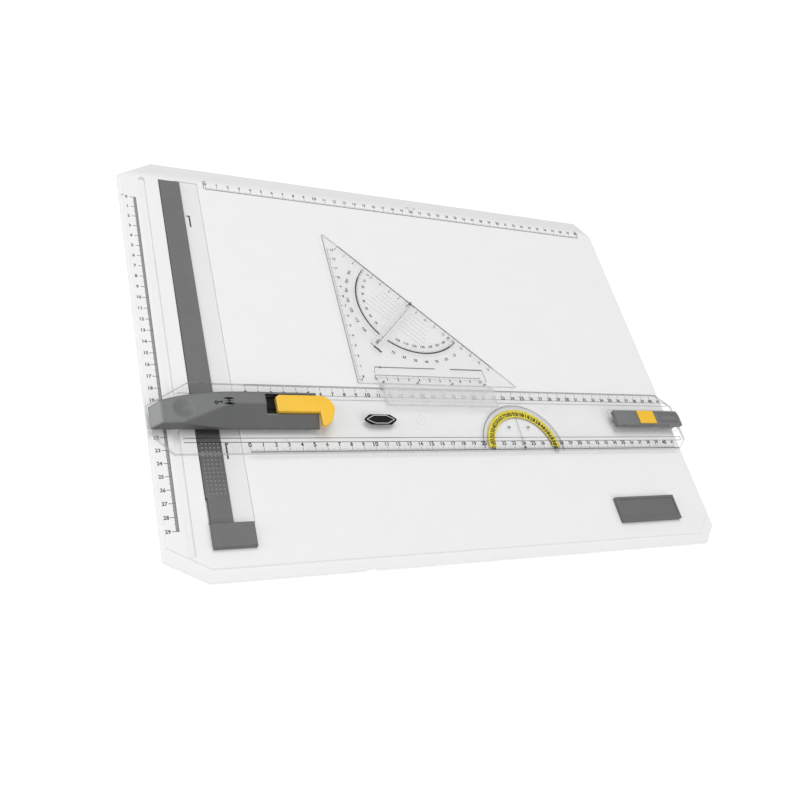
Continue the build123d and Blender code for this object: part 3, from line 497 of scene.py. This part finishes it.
class Print:
    """Flat marks gathered into one thin raised mesh."""

    figures = {}

    def __init__(self):
        self.corners = []
        self.faces = []

    def add(self, corners, faces):
        """Join in corners, and faces that count from the first of them."""
        start = len(self.corners)
        self.corners += corners
        self.faces += [[start + i for i in face] for face in faces]

    def line(self, x0, y0, x1, y1, width):
        length = hypot(x1 - x0, y1 - y0)
        nx, ny = -(y1 - y0) / length * width / 2, (x1 - x0) / length * width / 2
        corners = [(x0 - nx, y0 - ny), (x1 - nx, y1 - ny), (x1 + nx, y1 + ny), (x0 + nx, y0 + ny)]
        self.add(corners, [[0, 1, 2, 3]])

    def path(self, points, width):
        for (x0, y0), (x1, y1) in zip(points, points[1:]):
            self.line(x0, y0, x1, y1, width)

    def arc(self, centre, radius, width, start, end, step=3.0):
        """A ring section between two angles in degrees."""
        count = max(1, ceil(abs(end - start) / step))
        corners, faces = [], []
        for i in range(count + 1):
            a = radians(start + (end - start) * i / count)
            for r in (radius - width / 2, radius + width / 2):
                corners.append((centre[0] + r * cos(a), centre[1] + r * sin(a)))
        for i in range(count):
            faces.append([2 * i, 2 * i + 1, 2 * i + 3, 2 * i + 2])
        self.add(corners, faces)

    def dot(self, centre, radius):
        around = [radians(30 * i) for i in range(12)]
        corners = [(centre[0] + radius * cos(a), centre[1] + radius * sin(a)) for a in around]
        self.add(corners, [list(range(12))])

    def text(self, text, x, y, height, turn=0.0):
        if text not in Print.figures:
            Print.figures[text] = glyphs(text)
        corners, faces = Print.figures[text]
        c, s = cos(radians(turn)) * height, sin(radians(turn)) * height
        self.add([(x + px * c - py * s, y + px * s + py * c) for px, py in corners], faces)

    def spoke(self, centre, degree, inner, outer, width):
        """A line along a radius, between two distances from the centre."""
        c, s = cos(radians(degree)), sin(radians(degree))
        near = (centre[0] + inner * c, centre[1] + inner * s)
        far = (centre[0] + outer * c, centre[1] + outer * s)
        self.line(*near, *far, width)

    def text_around(self, text, centre, degree, radius, height, turn):
        c, s = cos(radians(degree)), sin(radians(degree))
        self.text(text, centre[0] + radius * c, centre[1] + radius * s, height, turn)

    def scale(self, start, end, side, centimetres, ticks, width):
        """Millimetre, half-centimetre and centimetre ticks from start towards end, pointing to side."""
        length = hypot(end[0] - start[0], end[1] - start[1])
        along = ((end[0] - start[0]) / length, (end[1] - start[1]) / length)
        across = (-along[1] * side, along[0] * side)
        for i in range(centimetres * 10 + 1):
            tall = ticks[2] if i % 10 == 0 else ticks[1] if i % 5 == 0 else ticks[0]
            x, y = start[0] + along[0] * i, start[1] + along[1] * i
            wide = width * 1.5 if i % 10 == 0 else width
            self.line(x, y, x + across[0] * tall, y + across[1] * tall, wide)

    def numbers(self, count, first, along, height, tall=None, every=1, turn=0.0):
        """Figures 0, 1, 2 and on, a centimetre apart; every so many of them may be taller."""
        for i in range(count):
            size = tall if tall and i % every == 0 else height
            self.text(str(i), first[0] + 10 * i * along[0], first[1] + 10 * i * along[1], size, turn)

    def faces_up(self, face):
        points = [self.corners[i] for i in face]
        return sum(p[0] * q[1] - q[0] * p[1] for p, q in zip(points, points[1:] + points[:1])) > 0

    def build(self, name, body, z, material, rise=INK_RISE, shadow=True):
        """The marks as one closed thin mesh on a surface at height z, riding on a body."""
        count = len(self.corners)
        turned = [face if self.faces_up(face) else face[::-1] for face in self.faces]
        # an edge that two faces share isn't part of the outline
        outline = set()
        for face in turned:
            for a, b in zip(face, face[1:] + face[:1]):
                if (b, a) in outline:
                    outline.discard((b, a))
                else:
                    outline.add((a, b))
        vertices = [(x * MM, y * MM, (z + rise) * MM) for x, y in self.corners]
        vertices += [(x * MM, y * MM, (z - INK_SINK) * MM) for x, y in self.corners]
        faces = turned + [[count + i for i in face[::-1]] for face in turned]
        faces += [[b, a, count + a, count + b] for a, b in sorted(outline)]
        mesh = bpy.data.meshes.new(name)
        mesh.from_pydata(vertices, [], faces)
        mesh.materials.append(material)
        mesh.validate()
        piece = bpy.data.objects.new(name, mesh)
        bpy.context.scene.collection.objects.link(piece)
        piece.visible_shadow = shadow
        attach(piece, body)


def board_print():
    """Scales along the board's back and left edges, and marks for the corners of a sheet."""
    marks = Print()
    x0, y0 = BACK_SCALE
    marks.scale((x0, y0), (x0 + 400, y0), side=1, centimetres=40, ticks=(1.5, 2.2, 3.6), width=0.2)
    marks.line(x0 - 0.6, y0 - 0.2, x0 + 400.6, y0 - 0.2, 0.55)
    marks.numbers(41, (x0, y0 + 5.6), (1, 0), 2.7, tall=3.2, every=10)
    # sheet corner marks at both ends of the back scale, and one near its middle
    for corner_x, inward in ((x0 - 1.6, 1), (x0 + 401.6, -1)):
        marks.path([(corner_x + 2.6 * inward, y0 + 8.6), (corner_x, y0 + 8.0), (corner_x, y0 - 0.2)], 0.5)
    for offset in (196.0, 198.2):
        marks.line(x0 + offset, y0 + 8.6, x0 + offset, y0 + 11.0, 0.45)
    marks.line(x0 + 203, y0 + 9.8, x0 + 206, y0 + 9.8, 0.6)

    x0, y0 = LEFT_SCALE
    marks.scale((x0, y0), (x0, y0 - 290), side=-1, centimetres=29, ticks=(2.0, 2.6, 4.6), width=0.3)
    marks.line(x0 + 0.1, y0 + 0.5, x0 + 0.1, y0 - 290.5, 0.35)
    marks.numbers(30, (x0 - 7.2, y0), (0, -1), 2.7)
    marks.line(x0 - 11.2, y0 + 1.5, x0 - 8.8, y0 + 1.5, 0.4)
    marks.build("board_scales", "board", FIELD, DARK_INK)

    band = Print()
    band.line(x0 - 0.9, y0, x0 - 0.9, y0 - 290, 2.0)
    band.build("board_scale_band", "board", FIELD, PALE_INK, INK_RISE / 2)

    # corner marks on the strip beside the clamp bar
    channel = Print()
    for x, back, front, lean in ((-194.2, 131.0, 119.0, -2.4), (-194.8, -81.0, -93.7, 1.8)):
        channel.line(x, back, x, front, 1.3)
        channel.line(x + lean, back - 0.6, x, back - 0.6, 1.2)
    channel.build("paper_size_marks", "board", high("paper_channel_strip").z, DARK_INK)


def rule_scales():
    """Scales along the blade's back and front edges."""
    back, front = BLADE_BACK - 0.5, BLADE_FRONT + 0.5
    x_back, x_front = RULE_BACK_ZERO, RULE_FRONT_ZERO
    marks = Print()
    for x, y, side, longest in ((x_back, back, -1, 4.6), (x_front, front, 1, 3.6)):
        marks.scale((x, y), (x + 410, y), side, centimetres=41, ticks=(1.8, 2.6, longest), width=0.2)
    marks.line(x_back - 0.1, back - 0.1, x_back + 410.1, back - 0.1, 0.2)
    marks.line(x_front - 17.5, front + 0.8, x_front - 17.5, front + 7.6, 0.9)
    marks.build("rule_scales", "rule", BLADE_TOP, DARK_INK, shadow=False)

    figures = Print()
    for first in ((x_back, back - 7.2), (x_front, front + 6.0)):
        figures.numbers(42, first, (1, 0), 3.1, tall=3.7, every=5)
    figures.build("rule_numbers", "rule", BLADE_TOP, BLACK_INK, shadow=False)

    edge = Print()
    edge.line(x_front, front + 0.1, high("rule_blade").x - 12.0, front + 0.1, 0.8)
    edge.build("rule_front_line", "rule", BLADE_TOP, GREY_INK)


def rule_protractor():
    """A yellow half circle of degrees on the underside of the blade."""
    x, y = RULE_DOT
    band = Print()
    band.arc(RULE_DOT, 32.8, 7.2, 0, 180)
    band.build("rule_protractor_band", "rule", BLADE_UNDER, YELLOW_INK, INK_SINK)

    figures = Print()
    for degree in range(0, 181, 2):
        figures.spoke(RULE_DOT, degree, 35.4 if degree % 10 else 34.8, 36.6, 0.22)
    for degree in range(0, 181, 10):
        figures.text_around(str(180 - degree), RULE_DOT, degree, 32.2, 3.8, degree - 90)
    figures.dot(RULE_DOT, 1.2)
    figures.line(x, y + 1.5, x, y + 30.0, 0.3)
    figures.line(x - 0.1, y + 8.2, x + 0.5, y + 8.2, 1.1)
    for side in (-10.0, 10.0):
        figures.text("45", x + side, y + 19.5, 2.0)
    figures.build("rule_protractor_figures", "rule", BLADE_UNDER, BLACK_INK, INK_SINK * 2)

    ring = Print()
    ring.arc(RULE_DOT, 40.4, 1.3, -4, 180)
    ring.build("rule_protractor_ring", "rule", BLADE_UNDER, RING_INK, INK_SINK)


def badge_border():
    """A plain six-sided border on the blank badge, in place of any word."""
    (left, front, _), (right, back, top) = low("blank_badge"), high("blank_badge")
    middle, point = (front + back) / 2, 6.6
    left, right, front, back = left + 1.9, right - 1.9, front + 1.0, back - 1.0
    corners = [(left, middle), (left + point, front), (right - point, front)]
    corners += [(right, middle), (right - point, back), (left + point, back), (left, middle)]
    border = Print()
    border.path(corners, 0.45)
    border.build("badge_border", "rule", top, WHITE_INK)


def head_print():
    """Two small signs by the lever: a key, and a clamp closed on a sheet."""
    marks = Print()
    # the key's ring, shaft and tooth
    marks.arc((-201.6, -55.5), 0.95, 1.2, 0, 360, 30)
    marks.line(-200.2, -55.2, -196.7, -54.5, 1.1)
    marks.line(-197.7, -54.9, -197.5, -56.2, 0.9)
    # the clamp's two jaws, its post and the sheet
    for y in (-51.9, -56.1):
        marks.line(-195.8, y, -188.0, y, 1.2)
        marks.line(-193.9, y, -189.9, y, 1.7)
    marks.line(-191.9, -52.7, -191.9, -55.3, 1.3)
    marks.line(-194.6, -54.0, -189.2, -54.0, 0.6)
    marks.build("head_lock_signs", "rule", HEAD_TOP, BLACK_INK)


def square_arcs():
    """The protractor's heavy arc, open in the middle for the grip, and its centre mark."""
    bold = Print()
    radius, thin, thick = 51.3, 0.9, 1.4
    bold.arc(SQUARE_DOT, radius, thin, 139.8, 151.0)
    bold.arc(SQUARE_DOT, radius, thick, 151.0, 221.7)
    bold.arc(SQUARE_DOT, radius, thick, 231.0, 303.0)
    bold.arc(SQUARE_DOT, radius, thin, 303.0, 312.5)
    bold.dot(SQUARE_DOT, 1.3)
    # painted shade: a dark dash where the grip's end wall shows dark
    bold.line(-56.5, 7.3, -50.9, 1.3, 1.8)
    bold.build("square_arcs", "set_square", PLATE_TOP, DARK_INK, shadow=False)


def square_scales():
    """The protractor's degrees, and the scales along the plate's three sides."""
    marks = Print()
    grip_at = 225       # the grip hides the degrees about this one
    for degree in range(136, 315):
        if abs(degree - grip_at) >= 6:
            marks.spoke(SQUARE_DOT, degree, 49.5 if degree % 5 else 48.6, 50.6, 0.14)
    for degree in range(140, 311, 10):
        if abs(degree - grip_at) < 8:
            continue
        reading = degree - 135
        marks.text_around(str(reading), SQUARE_DOT, degree, 44.8, 2.3, degree + 90)
        if 148 < degree < 304:
            marks.text_around(str(180 - reading), SQUARE_DOT, degree, 59.8, 2.5, degree + 90)

    # along the long side
    from_tip, inset, span = 12.6, 1.0, 173.0
    start = (PLATE_LEFT + from_tip, PLATE_FRONT + PLATE_LEG - from_tip - inset)
    end = (start[0] + span * DIAGONAL, start[1] - span * DIAGONAL)
    marks.scale(start, end, side=-1, centimetres=17, ticks=(1.3, 2.0, 3.2), width=0.22)
    marks.line(*start, *end, 0.5)
    first = (start[0] - 5.0 * DIAGONAL, start[1] - 5.0 * DIAGONAL)
    marks.numbers(18, first, (DIAGONAL, -DIAGONAL), 1.9, turn=-45)

    # up the upright side
    x, y = PLATE_LEFT + 0.6, PLATE_FRONT + 6
    marks.scale((x, y), (x, y + 140), side=-1, centimetres=13, ticks=(1.2, 1.8, 3.0), width=0.18)
    marks.numbers(14, (x + 5.0, y), (0, 1), 2.3)

    # above the runner, with a sheet corner mark on its left
    x, y = RUNNER_SCALE
    marks.scale((x, y), (x + 100, y), side=-1, centimetres=10, ticks=(1.0, 1.5, 2.2), width=0.18)
    marks.line(x, y, x + 101.5, y, 0.35)
    marks.numbers(11, (x, y - 3.9), (1, 0), 2.3)
    marks.path([(x - 1.6, y - 4.6), (x, y)], 0.35)
    marks.path([(-78.0, -25.5), (-75.6, -27.0), (-73.2, -22.0)], 0.5)
    marks.build("square_scales", "set_square", PLATE_TOP, DARK_INK, shadow=False)


def square_lines():
    """Long lines above the runner's scale, and faint lines beside the grip along the long side."""
    cx, cy = SQUARE_DOT
    lines = Print()
    lines.line(-61.2, -13.6, -4.0, -13.2, 0.9)
    lines.line(11.0, -13.1, 43.2, -12.9, 1.15)
    lines.line(43.2, -12.9, 44.6, -24.4, 0.5)
    lines.line(-61.2, -13.6, -62.6, -20.0, 0.4)
    lines.line(cx - 35.4, cy - 35.4, cx - 39.5, cy - 39.5, 0.3)
    lines.dot((-56.0, -13.6), 1.0)
    lines.build("square_long_lines", "set_square", PLATE_TOP, GREY_INK, shadow=False)

    faint = Print()
    grip_room = 5.0
    for step in range(2, 8):
        offset = 4.5 * step
        x, y = cx - offset * DIAGONAL, cy - offset * DIAGONAL
        reach = 22.0 + offset * 0.35
        for side in (-DIAGONAL, DIAGONAL):
            near, far = side * grip_room, side * reach
            faint.line(x + near, y - near, x + far, y - far, 0.25)
    faint.build("square_parallel_lines", "set_square", PLATE_TOP, PALE_INK, shadow=False)


board_print()
rule_scales()
rule_protractor()
badge_border()
head_print()
square_arcs()
square_scales()
square_lines()


# ---------------------------------------------------------------- coil springs in place of the CAD springs
def coil_spring(name, node, wire, turns):
    """A coil along X of round wire, filling the space of the CAD spring that it stands for."""
    near, far = low(node), high(node)
    radius = (far.y - near.y - wire) / 2
    length = far.x - near.x - wire
    steps, around = 16, 8
    vertices, faces = [], []
    for i in range(turns * steps + 1):
        turn = radians(360 * i / steps)
        for k in range(around):
            lean = radians(360 * k / around)
            out = radius + wire / 2 * cos(lean)
            x = near.x + wire / 2 + length * i / (turns * steps) + wire / 2 * sin(lean)
            y = (near.y + far.y) / 2 + out * cos(turn)
            z = (near.z + far.z) / 2 + out * sin(turn)
            vertices.append((x * MM, y * MM, z * MM))
    for i in range(turns * steps):
        for k in range(around):
            a, b = i * around + k, i * around + (k + 1) % around
            faces.append([a, b, b + around, a + around])
    faces.append(list(range(around))[::-1])
    faces.append([turns * steps * around + k for k in range(around)])
    mesh = bpy.data.meshes.new(name)
    mesh.from_pydata(vertices, [], faces)
    mesh.materials.append(FINISHES["steel"])
    mesh.validate()
    for polygon in mesh.polygons:
        polygon.use_smooth = True
    spring = bpy.data.objects.new(name, mesh)
    bpy.context.scene.collection.objects.link(spring)
    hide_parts(node)
    return spring


latch_coil = coil_spring("latch_coil", "latch_spring", 0.4, 8)
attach(latch_coil, "rule")
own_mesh(latch_coil)

brake_coil = coil_spring("brake_coil", "brake_spring", 0.45, 6)
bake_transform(brake_coil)


# ---------------------------------------------------------------- studio
FLOOR_SIZE = 12.0
FLOOR_Z = -0.0005       # just below the feet
SKY_LIGHT = 0.46        # strength of the backdrop as a light
SKY_SEEN = 1.0          # and as the camera sees it


def flat_sheet(name, size, z):
    """A square sheet about the origin."""
    half = size / 2
    mesh = bpy.data.meshes.new(name)
    corners = [(-half, -half, z), (half, -half, z), (half, half, z), (-half, half, z)]
    mesh.from_pydata(corners, [], [[0, 1, 2, 3]])
    sheet = bpy.data.objects.new(name, mesh)
    bpy.context.scene.collection.objects.link(sheet)
    return sheet


def floor_material():
    """Pale paper floor that glows a little, as a lit sweep does."""
    s = Shader("studio_floor")
    white = (1.0, 1.0, 1.0, 1.0)
    base = s.blend(s.noise(8.0, 3.0), (0.95, 0.95, 0.95, 1.0), (0.97, 0.97, 0.97, 1.0))
    paper = s.node("ShaderNodeBsdfDiffuse", Color=base).outputs[0]
    glow = s.node("ShaderNodeEmission", Color=white, Strength=1.12).outputs[0]
    # far away only the glow is left, so that the floor's end doesn't show against the backdrop
    share = s.remap(s.measure("LENGTH", s.place), 1.0, 2.6, 0.7, 1.0)
    # from below the floor is clear, so that the underside can be seen
    below = s.node("ShaderNodeNewGeometry").outputs["Backfacing"]
    see = s.node("ShaderNodeBsdfTransparent").outputs[0]
    return s.finish(s.mix(below, s.mix(share, paper, glow), see))


def backdrop():
    """A white world that is brighter to the camera than it is as a light."""
    world = bpy.data.worlds.new("studio")
    bpy.context.scene.world = world
    world.use_nodes = True
    nodes, links = world.node_tree.nodes, world.node_tree.links
    sky = nodes["Background"]
    sky.inputs["Color"].default_value = (1.0, 1.0, 1.0, 1.0)
    strength = nodes.new("ShaderNodeMapRange")
    strength.inputs["To Min"].default_value = SKY_LIGHT
    strength.inputs["To Max"].default_value = SKY_SEEN
    ray = nodes.new("ShaderNodeLightPath")
    links.new(ray.outputs["Is Camera Ray"], strength.inputs["Value"])
    links.new(strength.outputs["Result"], sky.inputs["Strength"])


def area_light(name, place, target, size, power):
    light = bpy.data.lights.new(name, "AREA")
    light.shape = "RECTANGLE"
    light.size, light.size_y = size
    light.energy = power
    lamp = bpy.data.objects.new(name, light)
    lamp.location = place
    lamp.rotation_euler = (Vector(target) - Vector(place)).to_track_quat("-Z", "Y").to_euler()
    bpy.context.scene.collection.objects.link(lamp)


floor = flat_sheet("floor", FLOOR_SIZE, FLOOR_Z)
floor.data.materials.append(floor_material())

area_light("key", place=(-0.4, 1.6, 4.2), target=(0, 0, 0), size=(3.4, 2.4), power=85.0)
area_light("left_strip", place=(-2.6, -0.1, 1.1), target=(-0.2, 0, 0), size=(0.9, 2.4), power=14.0)
area_light("fill", place=(1.2, -2.8, 2.8), target=(0, 0, 0), size=(3.0, 2.4), power=36.0)

backdrop()
bpy.context.scene.view_settings.view_transform = "Standard"
bpy.context.scene.cycles.transparent_max_bounces = 24

camera = bpy.data.objects.new("camera", bpy.data.cameras.new("camera"))
camera.location = (-0.3916, -0.3763, 0.5630)
camera.rotation_euler = (radians(34.562), radians(-24.729), radians(-14.919))
camera.data.lens = 40.34
camera.data.sensor_width = 36.0
camera.data.clip_start = 0.01
bpy.context.scene.collection.objects.link(camera)
bpy.context.scene.camera = camera
